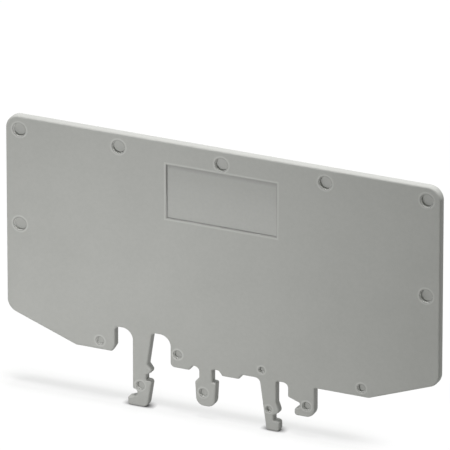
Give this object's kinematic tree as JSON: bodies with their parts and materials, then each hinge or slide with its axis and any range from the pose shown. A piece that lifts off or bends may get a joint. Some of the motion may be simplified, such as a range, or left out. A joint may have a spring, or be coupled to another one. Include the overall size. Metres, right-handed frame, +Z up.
{
  "type": "terminal block partition plate",
  "caption": "Flat grey moulded plate that separates groups of terminal blocks and snaps onto a mounting rail with a spring leg and a fixed foot.",
  "frame": {"origin": "over the middle of the 35 mm rail, on the upper face of its flanges, halfway through the plate's thickness", "axes": "+X along the plate from the spring leg to the fixed foot, +Y from the marked face to the plain face and along the rail, +Z up, away from the rail"},
  "size_m": [0.0988, 0.002, 0.0614],
  "materials": {
    "grey_plastic": "fine satin, as moulded"
  },
  "bodies": {
    "root": {"partition_plate": "grey_plastic"}
  },
  "joints": []
}
